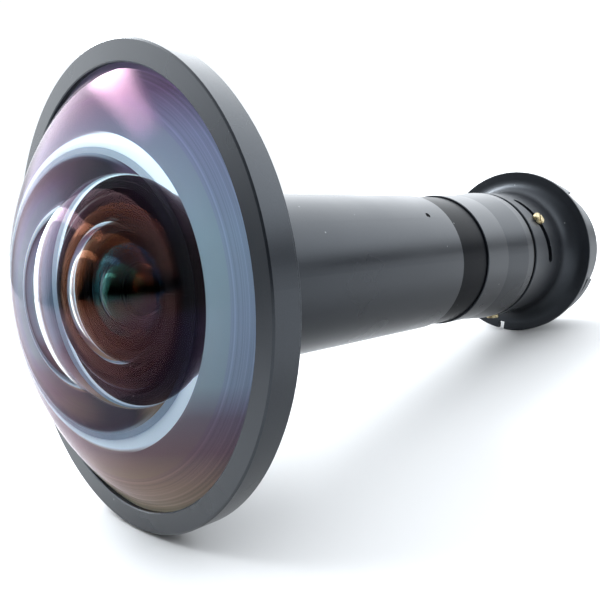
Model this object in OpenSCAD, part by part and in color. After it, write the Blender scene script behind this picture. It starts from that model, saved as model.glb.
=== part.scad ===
// Ultra wide projection lens with a domed front glass, a long barrel and a helical focus.
// The optical axis lies along Y and the front glass faces -Y. The origin is the centre of
// the seating plane behind the mount flange. Every piece is drawn along its own z axis,
// with z = 0 at the front face of the big ring, and stand() turns it into place.
// Angles round the axis start at +X and grow towards +Z.

/* [Front glass] */
// Diameter of the front glass
dome_d = 166; // [150:1:180]
// Height of the dome over its rim
dome_rise = 32.7; // [29:0.1:36]
// Thickness of the front glass at its rim
dome_edge_t = 7; // [6:0.1:9]
// Depth of the hollow in the back of the front glass
dome_hollow_depth = 31.8; // [28:0.1:34]

/* [Front ring] */
// Width of the ring outside the front glass
ring_w = 6.8; // [6:0.1:9]
// How far the ring's lip reaches in over the glass
lip_w = 1.2; // [1:0.1:1.4]
// Thickness of the lip in front of the glass
lip_t = 1.4; // [1:0.1:2]
// Thickness of the rubber gasket under the lip
gasket_t = 1.6; // [1.2:0.1:2]
// How far the ring reaches past the back of the glass
ring_overlap = 0.7; // [0.5:0.1:1.5]
// Chamfer on the front ring's outer edges
ring_chamfer = 0.6; // [0.3:0.1:1.2]
// Chamfer on the lip's inner edge
lip_chamfer = 0.4; // [0.2:0.1:0.8]

/* [Rear shell of the hood] */
// Step from the ring's rim to the shell's flange
shell_inset = 1.4; // [1:0.1:1.8]
// Thickness of the shell's flange
shell_flange_t = 2.3; // [2:0.1:4]
// Chamfer on the flange's rear edge
shell_flange_chamfer = 1; // [0.5:0.1:1]
// Length of the cone behind the flange
cone_len = 43; // [38:1:55]
// Thickness of the cone's wall across the axis
cone_wall = 5; // [3.5:0.5:7]
// Width of the collar round the barrel at the cone's end
collar_w = 3.9; // [2.5:0.1:6]
// Width of the seat under the front glass
seat_w = 22; // [18:0.5:26]
// Depth of the well behind the glass
well_depth = 12; // [11:0.5:15]
// Width of the ledge at the foot of the well
ledge_w = 11; // [9.5:0.5:13]
// Thickness of that ledge
ledge_t = 9; // [8:0.5:12]
// How many screws hold the ring to the shell
hood_screw_count = 8; // [6:1:12]
// How many screws hold the front cell in the shell
cell_screw_count = 6; // [3:1:8]

/* [Front cell] */
// Thickness of the cell's flange
cell_flange_t = 4; // [3:0.5:6]
// Step from the ledge's hole to the cup round the second glass
cup_inset = 1.5; // [1:0.1:3]
// Wall of the cup outside its thread
cup_wall = 2.1; // [1.5:0.1:3]
// Height of the cup's rim in front of the second glass
cup_rim = 3.5; // [3:0.1:4.5]
// Gap between the cup and the rim of the hollow round it
cup_room = 2; // [1.5:0.1:4]
// Wall of the cell's tube outside the third glass's thread
cell_wall = 3.1; // [2:0.1:5]
// Wall of the cell's tube round the small glasses
cell_core_wall = 14.4; // [10:0.1:16]

/* [Front group of glasses] */
// How far the second glass's rim stands in front of the ledge
second_rise = 10; // [8:0.1:11]
// Height of the second glass's dome
second_dome_rise = 22.7; // [20:0.1:26]
// Thickness of the second glass at its rim
second_edge_t = 5; // [4:0.1:6]
// Width of the flat rim round the hollow of the second glass
second_rim_w = 12; // [10:0.5:14]
// Depth of that hollow
second_hollow_depth = 21.6; // [18:0.1:24]
// Gap between the rims of the second and third glasses
second_gap = 5; // [4.2:0.1:7]
// Height of the third glass's dome
third_dome_rise = 13.4; // [11:0.1:16]
// Thickness of the third glass at its rim
third_edge_t = 4; // [3:0.1:5]
// Width of the flat rim round the hollow of the third glass
third_rim_w = 9; // [7:0.5:11]
// Depth of that hollow
third_hollow_depth = 12.8; // [10:0.1:15]
// Gap between the rims of the third and fourth glasses
third_gap = 14; // [11:0.5:18]
// Thickness of the fourth glass at its rim
fourth_edge_t = 3; // [2:0.1:4]
// Height of the fourth glass's front dome
fourth_front_rise = 3.1; // [2.5:0.1:4]
// Height of the fourth glass's back dome
fourth_back_rise = 2; // [1.5:0.1:3]
// Length of the spacer between the fourth and fifth glasses
cell_spacer_len = 11; // [9:0.5:14]
// Rim thickness of the fifth glass's front half
crown_edge_t = 4; // [3:0.1:6]
// Rim thickness of the fifth glass's back half
flint_edge_t = 14; // [12:0.1:17]
// Height of the fifth glass's front dome
crown_rise = 4.3; // [3.5:0.1:5.2]
// Height of the cemented dome
cement_rise = 9.3; // [7:0.1:11]
// Height of the fifth glass's back dome
flint_rise = 1.7; // [1.2:0.1:2.5]

/* [Barrel] */
// Diameter of the main barrel
barrel_d = 74.2; // [70:0.1:84]
// Wall of the main barrel
barrel_wall = 3.5; // [3:0.1:4.2]
// Depth of the barrel's thread in the shell
barrel_thread_len = 10; // [8:0.5:12]
// Length of the spacer in front of the aperture stop
stop_spacer_len = 14; // [10:0.5:18]
// Thickness of the aperture stop
stop_t = 1.2; // [0.8:0.1:2]
// Radius of the hole in the aperture stop
stop_hole_r = 8; // [5:0.5:12]
// How many grub screws lock the barrel on the inner tube
grub_count = 3; // [2:1:4]
// Angle of the first grub screw round the axis
grub_angle = 40.7; // [0:0.1:120]
// Distance of the grub screws from the barrel's rear end
grub_inset = 16.9; // [12:0.1:20]
// Diameter of the grub screws
grub_d = 3; // [2.5:0.5:4]

/* [Relay group] */
// Wall of the relay cell
relay_wall = 5.4; // [4:0.1:7]
// Length of the relay cell in front of its glasses
relay_front_len = 18.8; // [15:0.1:24]
// Rim thickness of the front relay glass
relay_front_edge_t = 3; // [2:0.1:4]
// Height of the front relay glass's domes
relay_front_rise = 3.8; // [3:0.1:5]
// Length of the relay spacer
relay_spacer_len = 19; // [15:0.5:24]
// Rim thickness of the rear relay glass
relay_rear_edge_t = 4; // [3:0.1:5]
// Height of the rear relay glass's dome
relay_rear_rise = 5.2; // [4:0.1:6.5]
// Width of the flat rim round the hollow of the rear relay glass
relay_rim_w = 2; // [1.6:0.1:3]
// Depth of that hollow
relay_hollow_depth = 3.8; // [3:0.1:4.6]
// Length of the relay cell behind its retaining ring
relay_tail_len = 10; // [7:0.5:14]

/* [Inner tube] */
// Step from the barrel to the dark collar behind it
collar_step = 0.7; // [0.5:0.1:1]
// Step from the barrel to the rear part of the inner tube
tube_step = 3.15; // [2.5:0.05:3.6]
// Length of the spigot inside the barrel
tube_spigot_len = 26.8; // [22:0.1:32]
// Wall of the inner tube
tube_wall = 3.85; // [3:0.05:4.6]
// Length of the ledge at the inner tube's front
tube_ledge_len = 6; // [4:0.5:8]
// Length of the first spacer in the tube
field_spacer_len = 28; // [23:0.5:34]
// Rim thickness of each glass in the tube
tube_lens_edge_t = 4; // [3:0.1:5]
// Height of the domes of each glass in the tube
tube_lens_rise = 4; // [3:0.1:5]
// Length of the second spacer in the tube
middle_spacer_len = 46; // [38:0.5:54]
// Length of the third spacer in the tube
tail_spacer_len = 42; // [35:0.5:50]

/* [Focus ring] */
// Visible length of the inner tube between the barrel and the focus ring
focus_gap = 23.9; // [20:0.1:28]
// How far the collar reaches into the focus ring
collar_reach = 29.3; // [25:0.1:34]
// Room behind the collar at its rear limit
collar_room = 1.4; // [1:0.1:3]
// Wall of the focus ring's front part
grip_wall = 0.9; // [0.8:0.05:1.4]
// Length of the focus ring's front part
grip_front_len = 21.3; // [18:0.1:25]
// Length of the taper between its two parts
grip_taper_len = 20; // [16:0.5:23]
// Whole visible length of the focus ring
grip_len = 47.8; // [44:0.1:56]
// Thickness of the thrust washer in the dark groove
washer_t = 3; // [2:0.1:4]
// Step from the neck to the washer's rim
washer_inset = 1.2; // [0.8:0.1:1.8]
// Wall of the skirt that reaches into the neck
skirt_wall = 2.35; // [2:0.05:2.8]

/* [Helical focus] */
// How many guide screws and slots there are
guide_count = 3; // [2:1:3]
// Angle of the first guide screw round the axis
guide_angle = 30; // [0:1:90]
// Distance of the guide screws behind the neck's front end
guide_inset = 13.5; // [12:0.1:16]
// Axial travel in one full turn of the focus
turn_travel_len = 45; // [36:0.5:54]
// Turn from rest to the near end of the slot, in degrees
focus_back_turn = 37; // [20:0.5:44]
// Turn from rest to the far end of the slot, in degrees
focus_forward_turn = 24; // [10:0.5:30]
// Diameter of a guide screw's shoulder
guide_d = 4; // [3.6:0.1:4.8]
// Diameter of a guide screw's head
guide_head_d = 7.6; // [6.4:0.1:9]
// Height of a guide screw's head
guide_head_t = 2; // [1.6:0.1:2.4]
// Diameter of a guide screw's thread
guide_thread_d = 3; // [2.4:0.1:3.5]
// Width of the screwdriver slot in a head
driver_slot_w = 1; // [0.6:0.1:1.4]
// Depth of the screwdriver slot in a head
driver_slot_depth = 0.9; // [0.5:0.1:1.2]
// Turn of the screwdriver slot about the screw
driver_slot_turn = 40; // [0:5:90]

/* [Mount flange] */
// Wall of the neck with the slots
neck_wall = 2.7; // [2.2:0.1:3.4]
// Length of the neck in front of the flange
neck_len = 41; // [36:0.1:48]
// Radius of the fillet between the neck and the flange
neck_fillet = 9.5; // [8:0.1:11]
// Width of the flange outside the neck
flange_w = 14.2; // [12:0.1:17]
// Thickness of the flange in front of the seating land
flange_t = 2.5; // [2:0.1:4]
// Height of the seating land
land_t = 0.5; // [0.3:0.1:0.8]
// Angle of the index notch round the axis
notch_angle = -101; // [-118:1:-90]
// Width of the index notch
notch_w = 4; // [3:0.1:6]
// Depth of the index notch from the flange's rim
notch_depth = 5; // [3:0.1:6]

/* [Rear spigot] */
// Step from the neck to the spigot
spigot_step = 4.4; // [3.8:0.1:5]
// Wall of the spigot
spigot_wall = 3.1; // [2.6:0.1:3.6]
// Step from the spigot to the pilot that centres the lens
pilot_step = 0.5; // [0.3:0.1:0.8]
// Length of the spigot behind the flange
spigot_len = 32.4; // [28:0.1:38]
// Length of the pilot
pilot_len = 13.4; // [11:0.1:16]
// How many bayonet lugs there are
lug_count = 3; // [2:1:3]
// Angle of the first lug's middle round the axis
lug_angle = -49; // [-60:1:0]
// Width of a lug round the axis, in degrees
lug_span = 48; // [30:1:58]
// Height of the lugs over the spigot
lug_rise = 6.2; // [5:0.1:7.4]
// Thickness of the lugs
lug_t = 6; // [5:0.1:7.2]
// Distance of the lugs in front of the pilot
lug_setback = 0.6; // [0.4:0.1:2]

/* [Rear cell] */
// Wall of the rear cell outside the inner tube
rear_cell_wall = 3.05; // [2.5:0.05:3.6]
// Wall of the rear cell round its glass
rear_glass_wall = 6.9; // [5.5:0.1:8]
// Distance of the rear cell behind the focus ring's skirt
rear_cell_room = 6.3; // [5.2:0.1:7.5]
// Length of the rear cell
rear_cell_len = 23.5; // [20:0.1:28]
// Overlap of the rear cell on the inner tube
rear_thread_len = 8; // [6:0.5:9.5]
// Rim thickness of the rear glass
rear_edge_t = 4; // [3:0.1:5]
// Height of the rear glass's front dome
rear_front_rise = 4.5; // [3.5:0.1:5.4]
// Height of the rear glass's back dome
rear_back_rise = 3; // [2:0.1:3.5]

/* [Hidden] */
$fn = 96;

// Allowances
slide_gap = 0.1;
thread_gap = 0.05;
glass_gap = 0.1;
rim_gap = 0.2;
overrun = 1;
edge_break = 0.4;

// Finishes
anodised = [0.13, 0.13, 0.14];
inner_black = [0.07, 0.07, 0.08];
crystal = [0.55, 0.62, 0.68, 0.45];
brass = [0.78, 0.64, 0.34];
dark_steel = [0.2, 0.2, 0.21];
rubber = [0.04, 0.04, 0.04];
polymer = [0.05, 0.05, 0.06];

// Spherical faces: radius of curvature from the width and height of a dome, and the place of
// such a face at a radius
function curve(r, rise) = (r * r + rise * rise) / (2 * rise);
function face_z(front, rim_r, rise, r) =
    let (rad = curve(rim_r, rise))
    front - rise + rad - sqrt(rad * rad - r * r);

// Front glass and front ring
dome_r = dome_d / 2;
dome_bore_r = dome_r + rim_gap;
dome_front = lip_t + gasket_t;
dome_back = dome_front + dome_edge_t;
ring_r = dome_bore_r + ring_w;
ring_t = dome_back + ring_overlap;
lip_r = dome_bore_r - lip_w;
gasket_inner_r = lip_r + rim_gap;

// Rear shell
barrel_r = barrel_d / 2;
shell_pilot_r = dome_bore_r - slide_gap;
shell_flange_r = ring_r - shell_inset;
cone_front = ring_t + shell_flange_t;
cone_r = dome_r;
collar_r = barrel_r + collar_w;
shell_end = cone_front + cone_len;
well_r = dome_r - seat_w;
ledge_r = well_r - ledge_w;
ledge_front = dome_back + well_depth;
ledge_back = ledge_front + ledge_t;
cone_slope = (cone_r - collar_r) / cone_len;
function cone_inner_r(z) = cone_r - (z - cone_front) * cone_slope - cone_wall;
barrel_start = shell_end - barrel_thread_len;
collar_bore_r = barrel_r + thread_gap;

// Small screws of the hood and the front cell
hood_screw_share = 0.31;
hood_screw_circle_r = dome_bore_r + ring_w * hood_screw_share;
hood_screw_r = 1;
hood_screw_head_r = 1.9;
hood_screw_head_t = 1.1;
hood_screw_len = 7;
hood_socket_r = 0.75;
hood_socket_depth = 0.9;
cell_screw_circle_r = (well_r + ledge_r) / 2;
cell_screw_r = 1.5;
cell_screw_head_r = 2.75;
cell_screw_head_t = 3;
cell_screw_len = 10;
cell_socket_r = 1.45;
cell_socket_depth = 1.6;
hole_tail = 1;
hex = 6;

// Barrel and the bores inside it
barrel_bore_r = barrel_r - barrel_wall;
barrel_step = 0.9;
barrel_socket_r = barrel_bore_r + barrel_step;
stack_r = barrel_bore_r - slide_gap;

// Rings and spacers
ring_wall = 1.3;
spacer_wall = 2;
retainer_wall = 3.4;
retainer_t = 4;
lens_land = retainer_wall + glass_gap;
spanner_slot_w = 2;
spanner_slot_depth = 1;

// Front cell and the second glass
cell_flange_r = well_r - slide_gap;
cell_flange_front = ledge_front - cell_flange_t;
cell_pilot_r = ledge_r - slide_gap;
cell_pilot_len = 4;
cup_r = ledge_r - cup_inset;
second_thread_r = cup_r - cup_wall;
second_bore_r = second_thread_r - ring_wall;
second_r = second_bore_r - glass_gap;
second_hollow_r = second_r - second_rim_w;
second_lip = 1.4;
second_seat_w = 9.4;
second_ledge_r = second_r - second_seat_w;
second_front = ledge_front - second_rise;
second_back = second_front + second_edge_t;
cup_front = second_front - cup_rim;
second_ring_front = cup_front + edge_break;
dome_hollow_r = cup_r + cup_room;

// Third glass
third_thread_r = stack_r - cell_wall;
third_bore_r = third_thread_r - ring_wall;
third_r = third_bore_r - glass_gap;
third_hollow_r = third_r - third_rim_w;
third_lip = 1.2;
third_seat_w = 5.1;
third_ledge_r = third_r - third_seat_w;
third_front = second_back + second_gap;
third_back = third_front + third_edge_t;
third_ring_t = 3;
third_ring_front = third_front - third_ring_t;

// Fourth and fifth glasses
fourth_bore_r = stack_r - cell_core_wall;
fourth_r = fourth_bore_r - glass_gap;
fourth_ledge_r = fourth_r - ring_wall;
fourth_front = third_back + third_gap;
fourth_back = fourth_front + fourth_edge_t;
baffle_t = 1;
baffle_end = fourth_front - 2 * baffle_t;
fifth_front = fourth_back + cell_spacer_len;
crown_back = fifth_front + crown_edge_t;
flint_back = crown_back + flint_edge_t;
cement_t = 0.02;
cell_tail = 2;
cell_end = flint_back + retainer_t + cell_tail;

// Aperture stop and relay
stop_front = cell_end + stop_spacer_len;
relay_cell_front = stop_front + stop_t;
relay_front = relay_cell_front + relay_front_len;
relay_mid = relay_front + relay_front_edge_t;
relay_rear_front = relay_mid + relay_spacer_len;
relay_rear_back = relay_rear_front + relay_rear_edge_t;
relay_cell_end = relay_rear_back + retainer_t + relay_tail_len;
relay_bore_r = stack_r - relay_wall;
relay_r = relay_bore_r - glass_gap;
relay_ledge_r = relay_r - spacer_wall;

// Inner tube, which clamps the stack in the barrel
tube_start = relay_cell_end;
barrel_end = tube_start + tube_spigot_len;
tube_spigot_r = barrel_socket_r - slide_gap;
grub_z = barrel_end - grub_inset;
grub_sink = 0.5;
tube_collar_r = barrel_r - collar_step;
tube_r = barrel_r - tube_step;
tube_bore_r = tube_r - tube_wall;
tube_lens_r = tube_bore_r - glass_gap;
tube_ledge_end = tube_start + tube_ledge_len;
field_front = tube_ledge_end + field_spacer_len;
field_back = field_front + tube_lens_edge_t;
middle_front = field_back + middle_spacer_len;
middle_back = middle_front + tube_lens_edge_t;
tail_front = middle_back + tail_spacer_len;
tail_back = tail_front + tube_lens_edge_t;

// Travel of the focus
travel_per_degree = turn_travel_len / 360;
back_travel = focus_back_turn * travel_per_degree;
forward_travel = focus_forward_turn * travel_per_degree;

// Focus ring, washer and neck
grip_start = barrel_end + focus_gap;
grip_end = grip_start + grip_len;
tube_collar_end = grip_start + collar_reach;
collar_bore_end = tube_collar_end + back_travel + collar_room;
collar_clear_r = tube_collar_r + slide_gap;
grip_front_r = collar_clear_r + grip_wall;
grip_taper_start = grip_start + grip_front_len;
grip_taper_end = grip_taper_start + grip_taper_len;
skirt_bore_r = tube_r + slide_gap;
skirt_r = skirt_bore_r + skirt_wall;
neck_bore_r = skirt_r + slide_gap;
neck_r = neck_bore_r + neck_wall;
grip_rear_r = neck_r;
neck_front = grip_end + washer_t;
washer_r = neck_r - washer_inset;
washer_face_gap = 0.05;
flange_front = neck_front + neck_len;

// Retainer of the focus ring, in a well behind the neck
retainer_well_depth = 4;
shoulder_z = flange_front - retainer_well_depth;
retainer_play = 0.2;
retainer_front = shoulder_z + retainer_play;
ring_retainer_t = 3;
retainer_end = retainer_front + ring_retainer_t;
skirt_thread_depth = 0.9;
skirt_thread_r = skirt_r - skirt_thread_depth;
retainer_overlap = 2;
ring_retainer_r = neck_bore_r + retainer_overlap;
retainer_side_gap = 0.3;
retainer_well_r = ring_retainer_r + retainer_side_gap;

// Guide screws and slots
guide_z = neck_front + guide_inset;
guide_r = guide_d / 2;
guide_side_gap = 0.2;
skirt_slot_gap = 0.06;
slot_end_gap = 0.3;
slot_end_turn = 0.3;
head_lift = 0.3;
guide_head_z = neck_r + head_lift;
guide_seat_gap = 0.1;
guide_thread_top = tube_r + guide_seat_gap;
guide_tip_sink = 1;
guide_tip = tube_bore_r + guide_tip_sink;
slot_half_w = guide_r + guide_side_gap;
slot_steps = 20;
end_angles = [15, 35, 55, 75];

// Rear spigot with its lugs
spigot_r = neck_r + spigot_step;
spigot_bore_r = spigot_r - spigot_wall;
spigot_shoulder = 0.65;
spigot_thread_r = spigot_r - spigot_shoulder;
spigot_thread_len = 3;
pilot_r = spigot_r + pilot_step;
lug_r = spigot_r + lug_rise;
lug_room = 0.4;

// Mount flange
flange_r = neck_r + flange_w;
flange_back = flange_front + flange_t;
seat_z = flange_back + land_t;
land_r = lug_r + lug_room;
flange_break = 0.3;
spigot_front = flange_back - spigot_thread_len;
spigot_end = flange_back + spigot_len;
spigot_chamfer = 0.8;
pilot_front = spigot_end - pilot_len;
lug_back = pilot_front - lug_setback;
lug_front = lug_back - lug_t;

// Rear cell
rear_cell_r = tube_r + rear_cell_wall;
rear_cell_front = retainer_end + rear_cell_room;
rear_cell_end = rear_cell_front + rear_cell_len;
rear_thread_r = tube_r + thread_gap;
tube_end = rear_cell_front + rear_thread_len;
rear_ledge_t = 2;
rear_front = tube_end + rear_ledge_t;
rear_back = rear_front + rear_edge_t;
rear_bore_r = rear_cell_r - rear_glass_wall;
rear_r = rear_bore_r - glass_gap;
rear_ledge_w = 2.5;
rear_ledge_r = rear_r - rear_ledge_w;

// Puts a piece drawn along z onto the optical axis along Y
module stand() {
    translate([0, -seat_z, 0])
        rotate([-90, 0, 0])
            children();
}

// Turns a profile of [radius, z] points about the axis
module turned(profile) {
    rotate_extrude()
        polygon(profile);
}

// A plain rod between two places on the axis
module rod(r, front, back) {
    translate([0, 0, front])
        cylinder(r = r, h = back - front);
}

// Copies a piece round the axis, the first at the given angle
module ring_of(count, first = 0) {
    for (i = [0 : count - 1])
        rotate([0, 0, -first - i * 360 / count])
            children();
}

// Stands a piece on the axis at z, pointing outwards
module radial(z) {
    translate([0, 0, z])
        rotate([0, 90, 0])
            children();
}

// A flat sided spacer or retaining ring
module band(inner_r, outer_r, front, back) {
    turned([[inner_r, front], [outer_r, front], [outer_r, back], [inner_r, back]]);
}

// A threaded retaining ring with two spanner slots in its face
module spanner_ring(inner_r, outer_r, front, back, slot_z) {
    difference() {
        band(inner_r, outer_r, front, back);
        spanner_cut(outer_r, slot_z);
    }
}

// The cut across a ring's face for a pin spanner
module spanner_cut(outer_r, slot_z) {
    translate([-outer_r - overrun, -spanner_slot_w / 2, slot_z - spanner_slot_depth])
        cube([2 * (outer_r + overrun), spanner_slot_w, 2 * spanner_slot_depth]);
}

// A ball whose front lies a rise in front of a rim of the given width
module front_dome(rim_r, front, rise) {
    rad = curve(rim_r, rise);
    translate([0, 0, front - rise + rad])
        sphere(r = rad);
}

// A ball whose back lies a rise behind such a rim
module back_dome(rim_r, back, rise) {
    rad = curve(rim_r, rise);
    translate([0, 0, back + rise - rad])
        sphere(r = rad);
}

// A glass with a domed front and a hollow in its flat back, with a flat land round the dome
module meniscus(rim_r, front, back, rise, hollow_r, hollow_depth, land = 0) {
    clear_r = rim_r - land;
    difference() {
        union() {
            intersection() {
                front_dome(clear_r, front, rise);
                rod(clear_r, front - 2 * rise, back);
            }
            if (land > 0)
                rod(rim_r, front, back);
        }
        front_dome(hollow_r, back, hollow_depth);
    }
}

// A glass that is domed on both sides, with a flat land round each dome for the rings
module biconvex(rim_r, front, back, front_rise, back_rise) {
    clear_r = rim_r - lens_land;
    rod(rim_r, front, back);
    intersection() {
        front_dome(clear_r, front, front_rise);
        back_dome(clear_r, back, back_rise);
        rod(clear_r, front - 2 * front_rise, back + 2 * back_rise);
    }
}

// The big ring round the dome
module hood_ring() {
    color(anodised) stand() difference() {
        turned([
            [lip_r, lip_chamfer],
            [lip_r + lip_chamfer, 0],
            [ring_r - ring_chamfer, 0],
            [ring_r, ring_chamfer],
            [ring_r, ring_t - ring_chamfer],
            [ring_r - ring_chamfer, ring_t],
            [dome_bore_r, ring_t],
            [dome_bore_r, lip_t],
            [lip_r, lip_t]
        ]);
        ring_of(hood_screw_count)
            translate([hood_screw_circle_r, 0, 0])
                rod(hood_screw_r + thread_gap, cone_front - hood_screw_len - hole_tail, ring_t + overrun);
    }
}

// Rubber gasket between the lip and the edge of the dome
module front_gasket() {
    outer_r = dome_bore_r - thread_gap;
    color(rubber) stand() turned([
        [gasket_inner_r, lip_t],
        [outer_r, lip_t],
        [outer_r, dome_front - glass_gap],
        [dome_r, dome_front - glass_gap],
        [gasket_inner_r, face_z(dome_front, dome_r, dome_rise, gasket_inner_r) - glass_gap]
    ]);
}

// The big domed front glass
module front_meniscus() {
    color(crystal) stand()
        meniscus(dome_r, dome_front, dome_back, dome_rise, dome_hollow_r, dome_hollow_depth);
}

// The conical shell that carries the ring, the front cell and the barrel
module hood_shell() {
    color(anodised) stand() difference() {
        turned([
            [well_r, dome_back],
            [shell_pilot_r, dome_back],
            [shell_pilot_r, ring_t],
            [shell_flange_r, ring_t],
            [shell_flange_r, cone_front - shell_flange_chamfer],
            [shell_flange_r - shell_flange_chamfer, cone_front],
            [cone_r, cone_front],
            [collar_r, shell_end],
            [collar_bore_r, shell_end],
            [collar_bore_r, barrel_start],
            [cone_inner_r(barrel_start), barrel_start],
            [cone_inner_r(ledge_back), ledge_back],
            [ledge_r, ledge_back],
            [ledge_r, ledge_front],
            [well_r, ledge_front]
        ]);
        ring_of(hood_screw_count)
            translate([hood_screw_circle_r, 0, 0])
                countersunk(hood_screw_r + slide_gap, hood_screw_head_r + slide_gap);
        ring_of(cell_screw_count)
            translate([cell_screw_circle_r, 0, 0])
                rod(cell_screw_r + thread_gap, ledge_front - overrun,
                    cell_flange_front + cell_screw_len + hole_tail);
    }
}

// A countersunk shape that ends flush with the shell's flange
module countersunk(shank_r, head_r, shank_len = hood_screw_len) {
    rod(shank_r, cone_front - shank_len, cone_front);
    translate([0, 0, cone_front - hood_screw_head_t])
        cylinder(r1 = shank_r, r2 = head_r, h = hood_screw_head_t);
}

// Countersunk screws that hold the ring on the shell
module hood_screws() {
    color(dark_steel) stand() ring_of(hood_screw_count)
        translate([hood_screw_circle_r, 0, 0]) difference() {
            countersunk(hood_screw_r, hood_screw_head_r);
            translate([0, 0, cone_front - hood_socket_depth])
                cylinder(r = hood_socket_r, h = hood_socket_depth + overrun, $fn = hex);
        }
}

// The stepped cell that holds the front group of glasses
module front_cell() {
    color(inner_black) stand() difference() {
        turned([
            [second_thread_r, cup_front],
            [cup_r, cup_front],
            [cup_r, cell_flange_front],
            [cell_flange_r, cell_flange_front],
            [cell_flange_r, ledge_front],
            [cell_pilot_r, ledge_front],
            [cell_pilot_r, ledge_front + cell_pilot_len],
            [stack_r, ledge_front + cell_pilot_len],
            [stack_r, cell_end],
            [fourth_bore_r, cell_end],
            [fourth_bore_r, fourth_front],
            [fourth_ledge_r, fourth_front],
            [fourth_ledge_r, baffle_end],
            [third_ledge_r, third_back + baffle_t],
            [third_ledge_r, third_back],
            [third_bore_r, third_back],
            [third_bore_r, third_front],
            [third_thread_r, third_front],
            [third_thread_r, third_ring_front - edge_break],
            [second_ledge_r, third_ring_front - edge_break],
            [second_ledge_r, second_back],
            [second_bore_r, second_back],
            [second_bore_r, second_front],
            [second_thread_r, second_front]
        ]);
        ring_of(cell_screw_count)
            translate([cell_screw_circle_r, 0, 0])
                rod(cell_screw_r + slide_gap, cell_flange_front - overrun, ledge_front + overrun);
    }
}

// Socket head screws that hold the front cell in the shell
module cell_screws() {
    color(dark_steel) stand() ring_of(cell_screw_count)
        translate([cell_screw_circle_r, 0, 0]) difference() {
            union() {
                rod(cell_screw_head_r, cell_flange_front - cell_screw_head_t, cell_flange_front);
                rod(cell_screw_r, cell_flange_front, cell_flange_front + cell_screw_len);
            }
            translate([0, 0, cell_flange_front - cell_screw_head_t - overrun])
                cylinder(r = cell_socket_r, h = cell_socket_depth + overrun, $fn = hex);
        }
}

// Second glass, domed towards the first
module second_meniscus() {
    color(crystal) stand()
        meniscus(second_r, second_front, second_back, second_dome_rise, second_hollow_r,
            second_hollow_depth);
}

// Ring that clamps the second glass in its cup
module second_retaining_ring() {
    inner_r = second_r - second_lip;
    outer_r = second_thread_r - slide_gap;
    color(inner_black) stand() difference() {
        turned([
            [inner_r, second_ring_front],
            [outer_r, second_ring_front],
            [outer_r, second_front],
            [second_r, second_front - glass_gap],
            [inner_r, face_z(second_front, second_r, second_dome_rise, inner_r) - glass_gap]
        ]);
        spanner_cut(outer_r, second_ring_front);
    }
}

// Third glass
module third_meniscus() {
    color(crystal) stand()
        meniscus(third_r, third_front, third_back, third_dome_rise, third_hollow_r,
            third_hollow_depth);
}

// Ring that clamps the third glass
module third_retaining_ring() {
    inner_r = third_r - third_lip;
    outer_r = third_thread_r - slide_gap;
    color(inner_black) stand() difference() {
        turned([
            [inner_r, third_ring_front],
            [outer_r, third_ring_front],
            [outer_r, third_front],
            [third_r, third_front - glass_gap],
            [inner_r, face_z(third_front, third_r, third_dome_rise, inner_r) - glass_gap]
        ]);
        spanner_cut(outer_r, third_ring_front);
    }
}

// Fourth glass, domed on both sides
module fourth_lens() {
    color(crystal) stand()
        biconvex(fourth_r, fourth_front, fourth_back, fourth_front_rise, fourth_back_rise);
}

// Spacer between the fourth and fifth glasses
module cell_spacer() {
    color(inner_black) stand()
        band(fourth_r - spacer_wall, fourth_r, fourth_back, fifth_front);
}

// Front half of the cemented fifth glass
module fifth_crown() {
    clear_r = fourth_r - lens_land;
    color(crystal) stand() {
        intersection() {
            front_dome(clear_r, fifth_front, crown_rise);
            rod(clear_r, fifth_front - 2 * crown_rise, crown_back);
        }
        intersection() {
            back_dome(fourth_r, crown_back, cement_rise);
            rod(fourth_r, fifth_front, crown_back + 2 * cement_rise);
        }
    }
}

// Back half of the cemented fifth glass
module fifth_flint() {
    clear_r = fourth_r - lens_land;
    color(crystal) stand() difference() {
        union() {
            intersection() {
                back_dome(clear_r, flint_back, flint_rise);
                rod(clear_r, crown_back, flint_back + 2 * flint_rise);
            }
            rod(fourth_r, crown_back, flint_back);
        }
        translate([0, 0, cement_t])
            back_dome(fourth_r, crown_back, cement_rise);
    }
}

// Ring that closes the front cell
module cell_rear_ring() {
    color(inner_black) stand()
        spanner_ring(fourth_r - retainer_wall, fourth_r, flint_back, flint_back + retainer_t,
            flint_back + retainer_t);
}

// The long outer barrel
module main_barrel() {
    color(anodised) stand() difference() {
        turned([
            [barrel_bore_r, barrel_start],
            [barrel_r, barrel_start],
            [barrel_r, barrel_end - edge_break],
            [barrel_r - edge_break, barrel_end],
            [barrel_socket_r, barrel_end],
            [barrel_socket_r, tube_start],
            [barrel_bore_r, tube_start]
        ]);
        ring_of(grub_count, grub_angle)
            radial(grub_z)
                rod(grub_d / 2 + thread_gap, barrel_bore_r - overrun, barrel_r + overrun);
    }
}

// Spacer between the front cell and the aperture stop
module stop_spacer() {
    color(inner_black) stand()
        band(stack_r - spacer_wall, stack_r, cell_end, stop_front);
}

// Thin plate with the aperture
module aperture_stop() {
    color(inner_black) stand()
        band(stop_hole_r, stack_r, stop_front, relay_cell_front);
}

// Tube that holds the two relay glasses
module relay_cell() {
    color(inner_black) stand() turned([
        [relay_ledge_r, relay_cell_front],
        [stack_r, relay_cell_front],
        [stack_r, relay_cell_end],
        [relay_bore_r, relay_cell_end],
        [relay_bore_r, relay_front],
        [relay_ledge_r, relay_front]
    ]);
}

// Front relay glass
module relay_front_lens() {
    color(crystal) stand()
        biconvex(relay_r, relay_front, relay_mid, relay_front_rise, relay_front_rise);
}

// Spacer between the relay glasses
module relay_spacer() {
    color(inner_black) stand()
        band(relay_r - spacer_wall, relay_r, relay_mid, relay_rear_front);
}

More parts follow.
